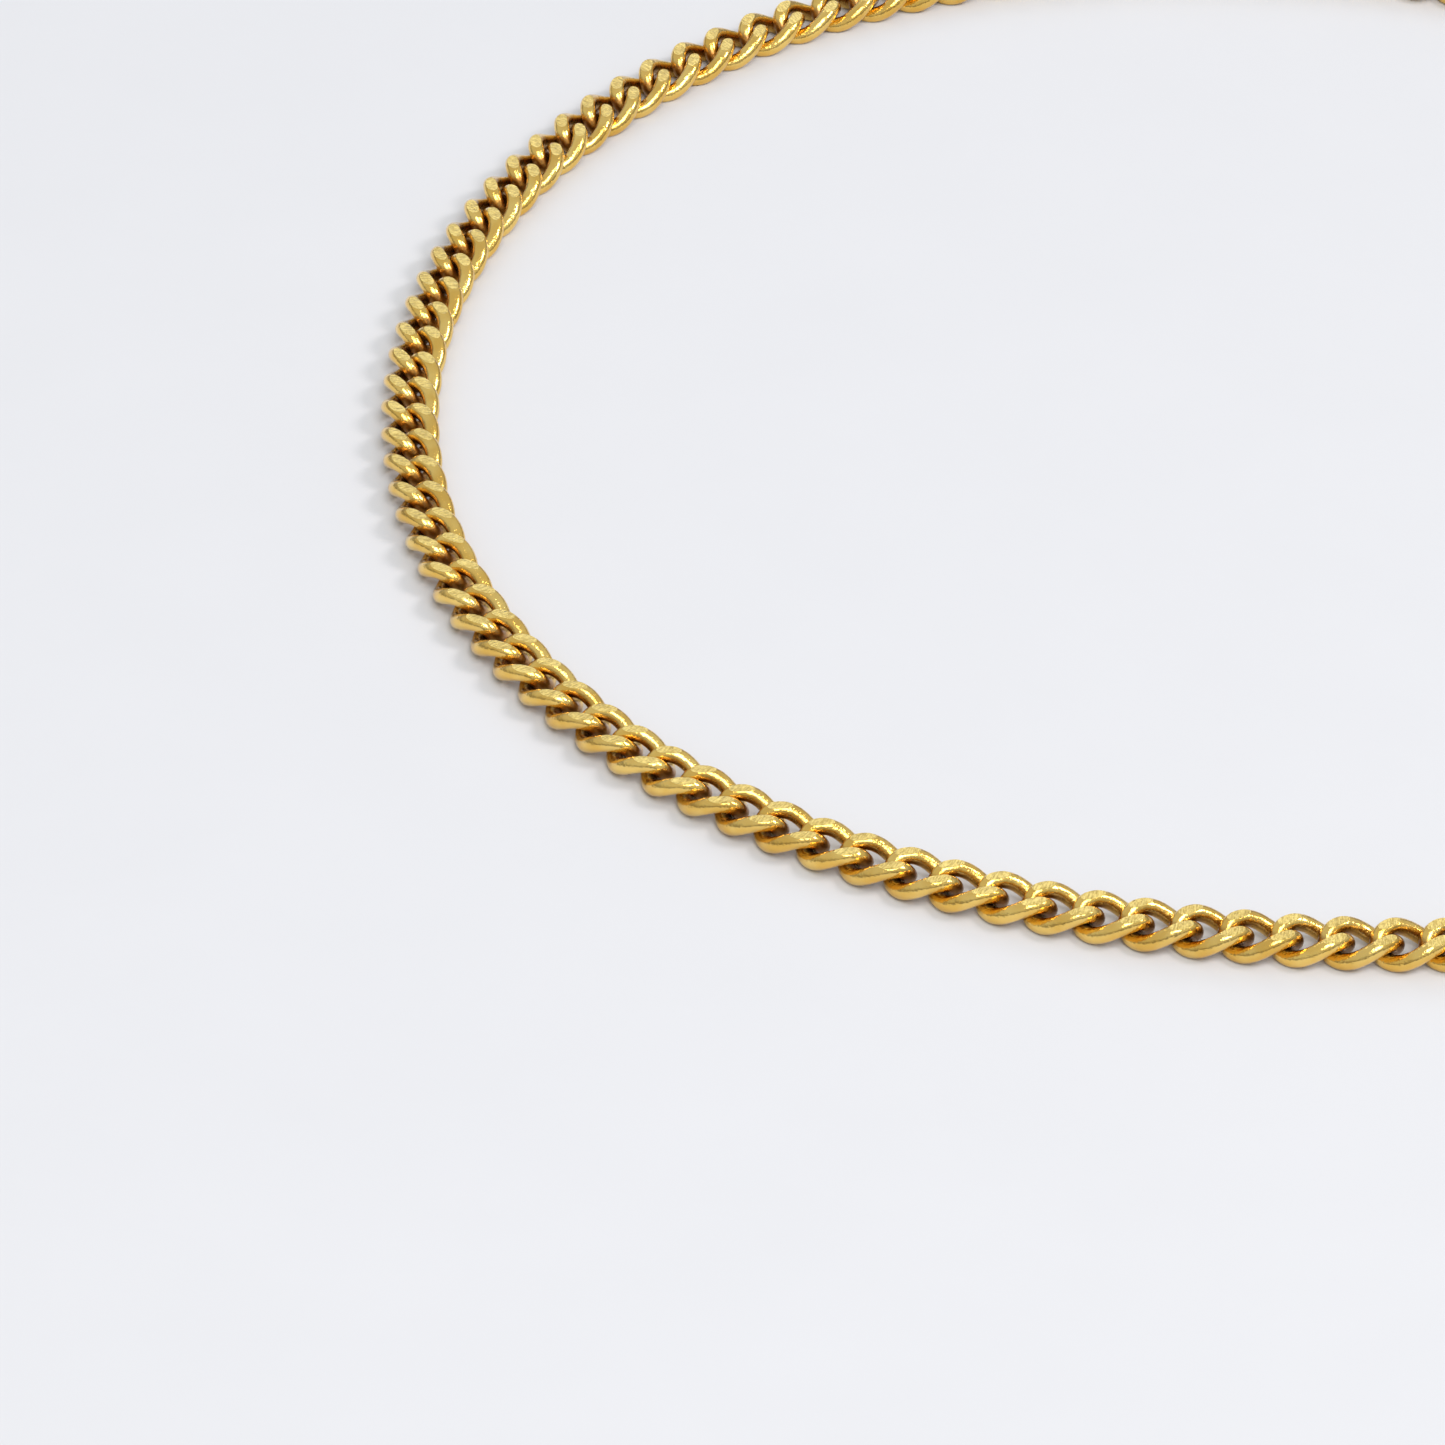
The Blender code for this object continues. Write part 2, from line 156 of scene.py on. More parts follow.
# ---- colours --------------------------------------------------------------
GOLD_DEEP = (0.86, 0.53, 0.10, 1.0)
GOLD_BRIGHT = (0.95, 0.66, 0.18, 1.0)
FILED_DARK = (0.58, 0.39, 0.07, 1.0)
FILED_PALE = (1.0, 0.77, 0.23, 1.0)
# painted shade: the dark brown that the links' recesses are darkened towards
GOLD_PAINTED_SHADE = (0.21, 0.044, 0.003, 1.0)
SHADE_DARK = (0.93, 0.91, 0.88, 1.0)    # each piece is tinted between these two
SHADE_PALE = (1.0, 1.0, 1.0, 1.0)
STEEL_DARK = (0.42, 0.41, 0.40, 1.0)
STEEL_PALE = (0.60, 0.59, 0.57, 1.0)
FLOOR_DARK = (0.671, 0.667, 0.667, 1.0)
FLOOR_PALE = (0.693, 0.688, 0.689, 1.0)

# ---- finish ---------------------------------------------------------------
# A scale is in waves per metre. A band is where a noise goes from none to full.
STREAK_SCALE = (3600.0, 520.0, 520.0)
STREAK_TURN = math.radians(-28.0)
FINE_SCALE = (9500.0, 1700.0, 1700.0)
FINE_TURN = math.radians(-36.0)
GRAIN_SCALE = 5200.0
DENT_SCALE = 1300.0
PATCH_SCALE = 420.0
STREAK_BAND = (0.2, 0.8)
MARK_BAND = (0.36, 0.62)
DENT_BAND = (0.3, 0.8)
PATCH_BAND = (0.35, 0.7)
NOISE_SHIFT = (0.31, 0.17, 0.23)    # metres, times each piece's own random number
MARK_WEIGHTS = (0.6, 0.4)       # of fine streaks and grain in the flats' colour
WIRE_HEIGHTS = (0.66, 0.08)     # of dents and grain on the drawn wire
FLAT_HEIGHTS = (0.8, 0.5, 0.35)     # of streaks, fine streaks and grain on the flats
BUMP_STRENGTH = 0.9
BUMP_DEPTH = 0.11 * MM
WIRE_ROUGHNESS = (0.10, 0.20)
FILED_ROUGHNESS = (0.24, 0.42)
FILED_FACING = (0.90, 0.975)    # share of a face's normal that is upright: drawn, filed
# Painted shade in the links' recesses, where neighbouring bows cross and on the wire's inner side;
# these also set a rougher finish there.
RECESS_ROUGHNESS = 0.4
RECESS_ACROSS = (1.6 * MM, 0.8 * MM)    # from the link's axis: no painted shade, full painted shade
RECESS_HEIGHT = (1.0 * MM, 0.5 * MM)    # from the link's middle: no painted shade, full painted shade
RECESS_INWARD = (-0.1, -0.9)    # normal along the way out from the centre: no painted shade, full painted shade
RECESS_INNER_SHARE = 0.5        # how much painted shade the inner side of the wire gets elsewhere
RECESS_LEAST = 0.6              # painted shade between dents, and what a full dent adds to it
RECESS_DENT_SHARE = 0.5
# how far the recesses' base colour goes towards the painted shade colour
RECESS_SHADE_STRENGTH = 0.88
COAT_WEIGHT = 0.4
COAT_ROUGHNESS = 0.06
STEEL_SPOT_SCALE = 2600.0
STEEL_LINE_SCALE = (1500.0, 1500.0, 26000.0)
STEEL_BAND = (0.3, 0.7)
STEEL_ROUGHNESS = (0.24, 0.42)
STEEL_BUMP_STRENGTH = 0.4
STEEL_BUMP_DEPTH = 0.01 * MM
FLOOR_MOTTLE_SCALE = 60.0
FLOOR_ROUGHNESS = 0.75
FLOOR_SPECULAR = 0.2

# ---- floor, camera and lights ---------------------------------------------
FLOOR_HALF_SIZE = 6.0           # metres
FLOOR_DROP = 0.05 * MM          # keeps the table clear of the filed flats
CAMERA_PLACE = Vector((-57.4, -606.3, 416.9)) * MM
CAMERA_DOWN = math.radians(36.49)
CAMERA_YAW = math.radians(-0.58)
CAMERA_LENS = 211.8             # mm
CAMERA_SENSOR = 36.0            # mm
CAMERA_NEAR = 0.01              # metres
CAMERA_FAR = 30.0
WORLD_COLOUR = (0.9, 0.94, 1.0, 1.0)
WORLD_DARK = 0.30
WORLD_PALE = 0.72
WORLD_DARK_BELOW = 0.06         # sine of the angle above the horizon
WORLD_PALE_ABOVE = 0.44
LIGHTS = (                      # name, place (m), size (m), power (W), colour
    ("key", (1.5, -0.29, 1.49), (0.5, 0.5), 14.4, (1.0, 0.95, 0.97)),
    ("far", (-0.15, 1.3, 0.95), (1.3, 0.6), 2.8, (0.98, 0.99, 1.0)),
    ("top", (0.2, -0.92, 1.3), (0.82, 0.82), 12.4, (0.975, 0.985, 1.0)),
)

rng = random.Random(SEED)


# ---- small helpers --------------------------------------------------------
def new_object(name, mesh, matrix=None):
    obj = bpy.data.objects.new(name, mesh)
    bpy.context.scene.collection.objects.link(obj)
    if matrix is not None:
        obj.matrix_world = matrix
    return obj


def smooth(mesh):
    for polygon in mesh.polygons:
        polygon.use_smooth = True


def sweep(bm, points, radii, sides, closed):
    """Skin a round section along points; an open sweep gets a flat face at each end."""
    count = len(points)
    rows = []
    side = None
    for i, point in enumerate(points):
        ahead = points[(i + 1) % count] if closed else points[min(i + 1, count - 1)]
        behind = points[i - 1] if closed or i > 0 else points[0]
        along = (ahead - behind).normalized()
        if side is None:
            up = Vector((0.0, 0.0, 1.0)) if abs(along.z) < 0.95 else Vector((0.0, 1.0, 0.0))
            side = along.cross(up)
        side = (side - along * side.dot(along)).normalized()
        over = side.cross(along).normalized()
        row = []
        for k in range(sides):
            angle = 2.0 * math.pi * (k + 0.5) / sides
            offset = side * math.cos(angle) + over * math.sin(angle)
            row.append(bm.verts.new(point + offset * radii[i]))
        rows.append(row)
    # a closed sweep may come round turned by a few sides: join each side to the nearest
    shift = 0
    if closed:
        gaps = [(vert.co - rows[-1][0].co).length for vert in rows[0]]
        shift = gaps.index(min(gaps))
    for i in range(count if closed else count - 1):
        row = rows[i]
        following = rows[(i + 1) % count]
        step = shift if closed and i == count - 1 else 0
        for k in range(sides):
            bm.faces.new((
                row[k], row[(k + 1) % sides],
                following[(k + 1 + step) % sides], following[(k + step) % sides],
            ))
    if not closed:
        bm.faces.new(rows[0])
        bm.faces.new(list(reversed(rows[-1])))
    bmesh.ops.recalc_face_normals(bm, faces=bm.faces)


def mesh_from(bm, name):
    mesh = bpy.data.meshes.new(name)
    bm.to_mesh(mesh)
    bm.free()
    smooth(mesh)
    return mesh


# ---- materials ------------------------------------------------------------
class Nodes:
    """Short names for building a node tree."""

    def __init__(self, material):
        material.use_nodes = True
        self.tree = material.node_tree
        self.tree.nodes.clear()
        self.shader = self.tree.nodes.new("ShaderNodeBsdfPrincipled")
        output = self.tree.nodes.new("ShaderNodeOutputMaterial")
        self.link(self.shader.outputs[0], output.inputs[0])

    def link(self, source, target):
        self.tree.links.new(source, target)

    def add(self, kind, **settings):
        node = self.tree.nodes.new(kind)
        for key, value in settings.items():
            setattr(node, key, value)
        return node

    def math(self, operation, a, b=None, clamp=False):
        node = self.add("ShaderNodeMath", operation=operation, use_clamp=clamp)
        for socket, value in zip(node.inputs, (a, b)):
            if value is None:
                continue
            if isinstance(value, (int, float)):
                socket.default_value = value
            else:
                self.link(value, socket)
        return node.outputs[0]

    def weighted(self, values, weights):
        """The sum of the values, each times its weight."""
        total = None
        for value, weight in zip(values, weights):
            share = self.math("MULTIPLY", value, weight)
            total = share if total is None else self.math("ADD", total, share)
        return total

    def ramp(self, value, low, high):
        """0 at low, 1 at high, smooth in between; low may be the larger."""
        node = self.add("ShaderNodeMapRange", interpolation_type="SMOOTHSTEP")
        self.link(value, node.inputs["Value"])
        node.inputs["From Min"].default_value = low
        node.inputs["From Max"].default_value = high
        return node.outputs["Result"]

    def scaled(self, vector, scale, turn=0.0):
        node = self.add("ShaderNodeMapping")
        self.link(vector, node.inputs["Vector"])
        node.inputs["Scale"].default_value = scale
        node.inputs["Rotation"].default_value = (0.0, 0.0, turn)
        return node.outputs["Vector"]

    def noise(self, vector, scale, detail=2.0, roughness=0.5):
        node = self.add("ShaderNodeTexNoise")
        self.link(vector, node.inputs["Vector"])
        node.inputs["Scale"].default_value = scale
        node.inputs["Detail"].default_value = detail
        node.inputs["Roughness"].default_value = roughness
        return node.outputs["Fac"]

    def mix_colour(self, factor, a, b):
        node = self.add("ShaderNodeMix", data_type="RGBA")
        self.link(factor, node.inputs["Factor"])
        for socket, value in ((node.inputs[6], a), (node.inputs[7], b)):
            if isinstance(value, tuple):
                socket.default_value = value
            else:
                self.link(value, socket)
        return node.outputs[2]

    def mix_value(self, factor, a, b):
        node = self.add("ShaderNodeMix", data_type="FLOAT")
        self.link(factor, node.inputs["Factor"])
        for socket, value in ((node.inputs[2], a), (node.inputs[3], b)):
            if isinstance(value, (int, float)):
                socket.default_value = value
            else:
                self.link(value, socket)
        return node.outputs[0]


def filed_flats(nodes, coords, noises, surface):
    """Matt, streaked gold where the link's own up or down side is filed flat."""
    streaks, fine, grain = noises
    tint, rough, height = surface
    facing = nodes.add("ShaderNodeSeparateXYZ")
    nodes.link(coords.outputs["Normal"], facing.inputs[0])
    flat = nodes.ramp(nodes.math("ABSOLUTE", facing.outputs["Z"]), *FILED_FACING)
    marks = nodes.ramp(nodes.weighted((fine, grain), MARK_WEIGHTS), *MARK_BAND)
    filed = nodes.mix_colour(marks, FILED_DARK, FILED_PALE)
    filed_rough = nodes.mix_value(nodes.ramp(streaks, *STREAK_BAND), *FILED_ROUGHNESS)
    scratches = nodes.weighted(noises, FLAT_HEIGHTS)
    return (
        nodes.mix_colour(flat, tint, filed),
        nodes.mix_value(flat, rough, filed_rough),
        nodes.mix_value(flat, height, scratches),
    )


def paint_recess_shade(nodes, coords, dents, surface):
    """Painted shade: the base colour goes dark brown, and the finish rougher, near the link's axis
    at mid height, where the neighbour's bow crosses, and on the wire's inner side.
    """
    tint, rough, height = surface
    body = nodes.add("ShaderNodeSeparateXYZ")
    nodes.link(coords.outputs["Object"], body.inputs[0])
    near_axis = nodes.ramp(nodes.math("ABSOLUTE", body.outputs["Y"]), *RECESS_ACROSS)
    near_middle = nodes.ramp(nodes.math("ABSOLUTE", body.outputs["Z"]), *RECESS_HEIGHT)
    outward = nodes.add("ShaderNodeVectorMath", operation="NORMALIZE")
    nodes.link(coords.outputs["Object"], outward.inputs[0])
    lean = nodes.add("ShaderNodeVectorMath", operation="DOT_PRODUCT")
    nodes.link(outward.outputs[0], lean.inputs[0])
    nodes.link(coords.outputs["Normal"], lean.inputs[1])
    inward = nodes.ramp(lean.outputs["Value"], *RECESS_INWARD)
    inside = nodes.math("MULTIPLY", inward, RECESS_INNER_SHARE)
    recess = nodes.math("MAXIMUM", nodes.math("MULTIPLY", near_axis, near_middle), inside)
    uneven = nodes.math("ADD", nodes.math("MULTIPLY", dents, RECESS_DENT_SHARE), RECESS_LEAST)
    recess = nodes.math("MULTIPLY", recess, uneven, clamp=True)
    return (
        # painted shade: the recess mask darkens the base colour
        nodes.mix_colour(nodes.math("MULTIPLY", recess, RECESS_SHADE_STRENGTH), tint, GOLD_PAINTED_SHADE),
        nodes.mix_value(recess, rough, RECESS_ROUGHNESS),
        height,
    )


def add_bump(nodes, height, strength, depth):
    bump = nodes.add("ShaderNodeBump")
    bump.inputs["Strength"].default_value = strength
    bump.inputs["Distance"].default_value = depth
    nodes.link(height, bump.inputs["Height"])
    nodes.link(bump.outputs["Normal"], nodes.shader.inputs["Normal"])


def gold_material(name, link=True):
    """Plated gold: glossy drawn wire; on a link also matt filed flats and painted shade in the
    recesses.
    """
    material = bpy.data.materials.new(name)
    nodes = Nodes(material)
    coords = nodes.add("ShaderNodeTexCoord")
    info = nodes.add("ShaderNodeObjectInfo")

    # every piece takes its marks from another place in the noise
    place = nodes.add("ShaderNodeVectorMath", operation="MULTIPLY_ADD")
    nodes.link(info.outputs["Random"], place.inputs[0])
    place.inputs[1].default_value = NOISE_SHIFT
    nodes.link(coords.outputs["Object"], place.inputs[2])
    where = place.outputs[0]
    streak_place = nodes.scaled(where, STREAK_SCALE, STREAK_TURN)
    fine_place = nodes.scaled(where, FINE_SCALE, FINE_TURN)
    streaks = nodes.noise(streak_place, 1.0, detail=3.0, roughness=0.6)
    fine = nodes.noise(fine_place, 1.0, detail=2.0)
    grain = nodes.noise(where, GRAIN_SCALE, detail=3.0, roughness=0.65)
    dents = nodes.noise(where, DENT_SCALE, detail=3.0, roughness=0.6)
    patches = nodes.noise(where, PATCH_SCALE, detail=2.0)

    # warm yellow gold, deeper in patches and a little dented
    surface = (
        nodes.mix_colour(nodes.ramp(patches, *PATCH_BAND), GOLD_DEEP, GOLD_BRIGHT),
        nodes.mix_value(nodes.ramp(dents, *DENT_BAND), *WIRE_ROUGHNESS),
        nodes.weighted((dents, grain), WIRE_HEIGHTS),
    )
    if link:
        surface = filed_flats(nodes, coords, (streaks, fine, grain), surface)
        # painted shade darkens the recesses between the links
        surface = paint_recess_shade(nodes, coords, dents, surface)
    tint, rough, height = surface

    add_bump(nodes, height, BUMP_STRENGTH, BUMP_DEPTH)
    blend = nodes.add("ShaderNodeMix", data_type="RGBA", blend_type="MULTIPLY")
    blend.inputs["Factor"].default_value = 1.0
    nodes.link(tint, blend.inputs[6])
    shade = nodes.mix_colour(info.outputs["Random"], SHADE_DARK, SHADE_PALE)
    nodes.link(shade, blend.inputs[7])
    nodes.link(blend.outputs[2], nodes.shader.inputs["Base Color"])
    nodes.link(rough, nodes.shader.inputs["Roughness"])
    nodes.shader.inputs["Metallic"].default_value = 1.0
    nodes.shader.inputs["Coat Weight"].default_value = COAT_WEIGHT
    nodes.shader.inputs["Coat Roughness"].default_value = COAT_ROUGHNESS
    return material


def steel_material(name):
    """Drawn spring wire: grey, with fine lines and darker spots."""
    material = bpy.data.materials.new(name)
    nodes = Nodes(material)
    coords = nodes.add("ShaderNodeTexCoord")
    where = coords.outputs["Object"]
    spots = nodes.noise(where, STEEL_SPOT_SCALE, detail=3.0, roughness=0.6)
    lines = nodes.noise(nodes.scaled(where, STEEL_LINE_SCALE), 1.0, detail=2.0)
    colour = nodes.mix_colour(nodes.ramp(spots, *STEEL_BAND), STEEL_DARK, STEEL_PALE)
    rough = nodes.mix_value(nodes.ramp(lines, *STEEL_BAND), *STEEL_ROUGHNESS)
    nodes.link(colour, nodes.shader.inputs["Base Color"])
    nodes.link(rough, nodes.shader.inputs["Roughness"])
    add_bump(nodes, lines, STEEL_BUMP_STRENGTH, STEEL_BUMP_DEPTH)
    nodes.shader.inputs["Metallic"].default_value = 1.0
    return material


def table_material(name):
    """Near-white table top with a very faint mottle."""
    material = bpy.data.materials.new(name)
    nodes = Nodes(material)
    coords = nodes.add("ShaderNodeTexCoord")
    where = coords.outputs["Object"]
    mottle = nodes.noise(where, FLOOR_MOTTLE_SCALE, detail=4.0, roughness=0.6)
    colour = nodes.mix_colour(mottle, FLOOR_DARK, FLOOR_PALE)
    nodes.link(colour, nodes.shader.inputs["Base Color"])
    nodes.shader.inputs["Roughness"].default_value = FLOOR_ROUGHNESS
    nodes.shader.inputs["Specular IOR Level"].default_value = FLOOR_SPECULAR
    return material


# ---- links ----------------------------------------------------------------
def link_point(angle):
    """A point of the wire's centre line: an oval, twisted about its length."""
    cosine = math.cos(angle)
    sine = math.sin(angle)
    x = LINK_HALF_LENGTH * math.copysign(abs(cosine) ** (2.0 / OVAL_POWER), cosine)
    y = LINK_HALF_WIDTH * math.copysign(abs(sine) ** (2.0 / OVAL_POWER), sine)
    twist = TWIST * x / LINK_HALF_LENGTH
    return Vector((x, y * math.cos(twist), y * math.sin(twist)))


def even_points(count):
    """Points of the link's centre line at even distances along the wire."""
    fine = [link_point(2.0 * math.pi * i / LINE_SAMPLES) for i in range(LINE_SAMPLES + 1)]
    lengths = [0.0]
    for a, b in zip(fine, fine[1:]):
        lengths.append(lengths[-1] + (b - a).length)
    points = []
    j = 0
    for i in range(count):
        target = lengths[-1] * i / count
        while lengths[j + 1] < target:
            j += 1
        share = (target - lengths[j]) / (lengths[j + 1] - lengths[j])
        points.append(fine[j].lerp(fine[j + 1], share))
    return points


def link_mesh():
    """One link: the wire, filed flat above and below, with its rims softened."""
    bm = bmesh.new()
    sweep(bm, even_points(WIRE_STEPS), [WIRE_RADIUS] * WIRE_STEPS, WIRE_SIDES, closed=True)
    rims = []
    for side in (1.0, -1.0):
        cut = bmesh.ops.bisect_plane(
            bm, geom=bm.verts[:] + bm.edges[:] + bm.faces[:], dist=SAME_PLACE,
            plane_co=(0.0, 0.0, side * 0.5 * CHAIN_THICKNESS),
            plane_no=(0.0, 0.0, side), clear_outer=True,
        )
        rim = [item for item in cut["geom_cut"] if isinstance(item, bmesh.types.BMEdge)]
        bmesh.ops.edgeloop_fill(bm, edges=rim)
        rims.extend(rim)
    bmesh.ops.bevel(
        bm, geom=[edge for edge in rims if edge.is_valid], offset=RIM_BEVEL, segments=RIM_SEGMENTS,
        profile=0.5, affect="EDGES", clamp_overlap=True,
    )
    bmesh.ops.recalc_face_normals(bm, faces=bm.faces)
    return mesh_from(bm, "curb_link")


def run_name(run):
    return f"links_{2 * run + 1:03d}_{2 * run + 2:03d}"


def link_frames():
    """Where each link lies, read from the crossings between the CAD's runs."""
    runs = len([name for name in frame["bodies"] if name.startswith("links_")])
    crossings = {}
    for joint in frame["joints"]:
        if joint["name"].startswith("link_"):
            crossings[int(joint["name"].split("_")[2]) // 2] = Vector(joint["pos_m"])
    headings = {}
    for run in range(1, runs - 1):
        chord = crossings[run + 1] - crossings[run]
        headings[run] = math.atan2(chord.y, chord.x)
    # no jump by a full turn from one run to the next
    for run in range(2, runs - 1):
        while headings[run] - headings[run - 1] > math.pi:
            headings[run] -= 2.0 * math.pi
        while headings[run] - headings[run - 1] < -math.pi:
            headings[run] += 2.0 * math.pi
    headings[0] = 2.0 * headings[1] - headings[2]
    headings[runs - 1] = 2.0 * headings[runs - 2] - headings[runs - 3]
    places = []
    for run in range(runs):
        before = headings[max(run - 1, 0)]
        after = headings[min(run + 1, runs - 1)]
        spread = 2 if 0 < run < runs - 1 else 1
        turn = (after - before) / spread / 2.0
        first = headings[run] - 0.5 * turn
        second = headings[run] + 0.5 * turn
        back = Vector((math.cos(first), math.sin(first), 0.0))
        along = Vector((math.cos(second), math.sin(second), 0.0))
        if run < runs - 1:
            centre_second = crossings[run + 1] - along * HALF_PITCH
            centre_first = centre_second - along * HALF_PITCH - back * HALF_PITCH
        else:
            centre_first = crossings[run] + back * HALF_PITCH
            centre_second = centre_first + back * HALF_PITCH + along * HALF_PITCH
        places.append((centre_first - back * FREE_SHIFT, first))
        places.append((centre_second + along * FREE_SHIFT, second))
    return places


def build_links(material):
    mesh = link_mesh()
    mesh.materials.append(material)
    for i, (centre, heading) in enumerate(link_frames()):
        roll = math.radians(rng.uniform(-LINK_ROLL, LINK_ROLL))
        yaw = math.radians(rng.uniform(-LINK_YAW, LINK_YAW))
        matrix = (
            Matrix.Translation(centre)
            @ Matrix.Rotation(heading + yaw, 4, "Z")
            @ Matrix.Rotation(roll, 4, "X")
        )
        piece = new_object(f"link_{i + 1:03d}", mesh, matrix)
        run = i // 2
        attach(piece, run_name(run))
        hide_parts(run_name(run))


# ---- jump rings -----------------------------------------------------------
def joint_named(name):
    return next(joint for joint in frame["joints"] if joint["name"] == name)


def chain_end(joint_name):
    """A frame on an end bow: X along the chain and outwards, Z up."""
    joint = joint_named(joint_name)
    heading = math.atan2(joint["axis"][1], joint["axis"][0]) - 0.5 * math.pi
    return Matrix.Translation(joint["pos_m"]) @ Matrix.Rotation(heading, 4, "Z")


def build_jump_ring(name, joint_name, material):
    """A ring of round wire whose two ends meet at a fine split."""
    tilt = Matrix.Rotation(RING_LEAN, 4, "X") @ Matrix.Rotation(RING_DIP, 4, "Y")
    opening = RING_SPLIT_GAP / RING_RADIUS
    points = []
    for i in range(RING_STEPS + 1):
        angle = RING_SPLIT + 0.5 * opening + (2.0 * math.pi - opening) * i / RING_STEPS
        local = Vector((math.cos(angle), math.sin(angle), 0.0)) * RING_RADIUS
        points.append(RING_FROM_BOW + tilt @ local)
    bm = bmesh.new()
    sweep(bm, points, [RING_WIRE_RADIUS] * len(points), RING_SIDES, closed=False)
    mesh = mesh_from(bm, name)
    mesh.set_sharp_from_angle(angle=RING_SHARP)
    mesh.materials.append(material)
    ring = new_object(name + "_fine", mesh, chain_end(joint_name))
    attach(ring, name)
    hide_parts(name)


# ---- lobster clasp --------------------------------------------------------
def smooth_line(line, height):
    """Catmull-Rom curve through (x, y, radius) rows given in millimetres."""
    rows = [line[0]] + list(line) + [line[-1]]
    points = []
    radii = []
    for i in range(1, len(rows) - 2):
        for step in range(LINE_STEPS):
            share = step / LINE_STEPS
            before, start, end, after = (Vector(rows[i + j]) for j in (-1, 0, 1, 2))
            row = 0.5 * (
                2.0 * start
                + (end - before) * share
                + (2.0 * before - 5.0 * start + 4.0 * end - after) * share * share
                + (3.0 * start - before - 3.0 * end + after) * share * share * share
            )
            points.append(Vector((row.x * MM, row.y * MM, height)))
            radii.append(row.z * MM)
    points.append(Vector((line[-1][0] * MM, line[-1][1] * MM, height)))
    radii.append(line[-1][2] * MM)
    return points, radii


def dome_end(points, radii, at_start):
    """Round off one end of an open sweep with a half ball."""
    end, inner = (points[0], points[1]) if at_start else (points[-1], points[-2])
    radius = radii[0] if at_start else radii[-1]
    out = (end - inner).normalized()
    for k in range(1, DOME_STEPS + 1):
        angle = 0.5 * math.pi * k / DOME_SPAN
        point = end + out * radius * math.sin(angle)
        if at_start:
            points.insert(0, point)
            radii.insert(0, radius * math.cos(angle))
        else:
            points.append(point)
            radii.append(radius * math.cos(angle))


def swept_mesh(line, height):
    """A round bar along a line of rows, with both ends rounded off."""
    points, radii = smooth_line(line, height)
    dome_end(points, radii, at_start=True)
    dome_end(points, radii, at_start=False)
    bm = bmesh.new()
    sweep(bm, points, radii, LINE_SIDES, closed=False)
    return mesh_from(bm, "sweep")


def eye_mesh():
    """The upright loop that the jump ring goes through."""
    points = []
    for i in range(EYE_STEPS):
        angle = 2.0 * math.pi * (i + 0.5) / EYE_STEPS
        local = Vector((math.cos(angle), 0.0, math.sin(angle))) * EYE_RADIUS
        points.append(local + Vector((0.0, 0.0, EYE_HEIGHT)))
    bm = bmesh.new()
    sweep(bm, points, [EYE_WIRE_RADIUS] * EYE_STEPS, EYE_SIDES, closed=True)
    return mesh_from(bm, "eye")


def turned_mesh(centre, radius, half_height, edge):
    """A disc or pin with rounded edges, turned about Z."""
    bm = bmesh.new()
    bmesh.ops.create_cone(
        bm, cap_ends=True, segments=TURNED_SIDES, radius1=radius, radius2=radius,
        depth=2.0 * half_height, matrix=Matrix.Translation(centre),
    )
    if edge > 0.0:
        rims = []
        for rim_edge in bm.edges:
            if abs(rim_edge.verts[0].co.z - rim_edge.verts[1].co.z) < SAME_PLACE:
                rims.append(rim_edge)
        bmesh.ops.bevel(
            bm, geom=rims, offset=edge, segments=TURNED_EDGE_SEGMENTS,
            profile=0.5, affect="EDGES",
        )
    return mesh_from(bm, "turned")


def box_mesh(low, high):
    bm = bmesh.new()
    size = high - low
    bmesh.ops.create_cube(
        bm, size=1.0,
        matrix=Matrix.Translation(0.5 * (low + high)) @ Matrix.Diagonal((*size, 1.0)),
    )
    return mesh_from(bm, "box")


def cast_mesh(name, first, steps):
    """Join solids to the first or cut them away, then soften every edge like a casting's."""
    holder = new_object("casting", first)
    tools = []
    for mesh, operation in steps:
        tool = new_object("casting_tool", mesh)
        tools.append(tool)
        modifier = holder.modifiers.new("step", "BOOLEAN")
        modifier.operation = operation
        modifier.solver = "EXACT"
        modifier.object = tool
    remesh = holder.modifiers.new("even", "REMESH")
    remesh.mode = "VOXEL"
    remesh.voxel_size = CAST_VOXEL
    remesh.use_smooth_shade = True
    soften = holder.modifiers.new("soften", "SMOOTH")
    soften.factor = CAST_SOFTENING
    soften.iterations = CAST_SOFTENING_ROUNDS
    graph = bpy.context.evaluated_depsgraph_get()
    graph.update()
    mesh = bpy.data.meshes.new_from_object(holder.evaluated_get(graph))
    mesh.name = name
    for obj in [holder] + tools:
        bpy.data.objects.remove(obj, do_unlink=True)
    smooth(mesh)
    return mesh


def pin_hole():
    return turned_mesh(PIVOT, HOLE_RADIUS, HOLE_HALF_HEIGHT, 0.0)


def add_clasp_piece(name, body, mesh, material, place):
    mesh.materials.clear()
    mesh.materials.append(material)
    piece = new_object(name + "_fine", mesh, place)
    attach(piece, body)
    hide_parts(name)


def spring_mesh():
    """Coil round the pin with a straight leg at each end."""
    tangent = Vector((math.sin(SPRING_START), -math.cos(SPRING_START), 0.0))
    middle = Vector((PIVOT.x, PIVOT.y, 0.0))
    steps = SPRING_STEPS * SPRING_TURNS
    points = []
    for i in range(steps + 1):
        angle = SPRING_START + 2.0 * math.pi * SPRING_TURNS * i / steps
        points.append(middle + Vector((
            SPRING_COIL_RADIUS * math.cos(angle),
            SPRING_COIL_RADIUS * math.sin(angle),
            SPRING_BOTTOM + SPRING_PITCH * SPRING_TURNS * i / steps,
        )))
    points.insert(0, points[0] + tangent * SPRING_LEG)
    points.append(points[-1] - tangent * SPRING_LEG)
    bm = bmesh.new()
    sweep(bm, points, [SPRING_WIRE_RADIUS] * len(points), SPRING_SIDES, closed=False)
    return mesh_from(bm, "spring")


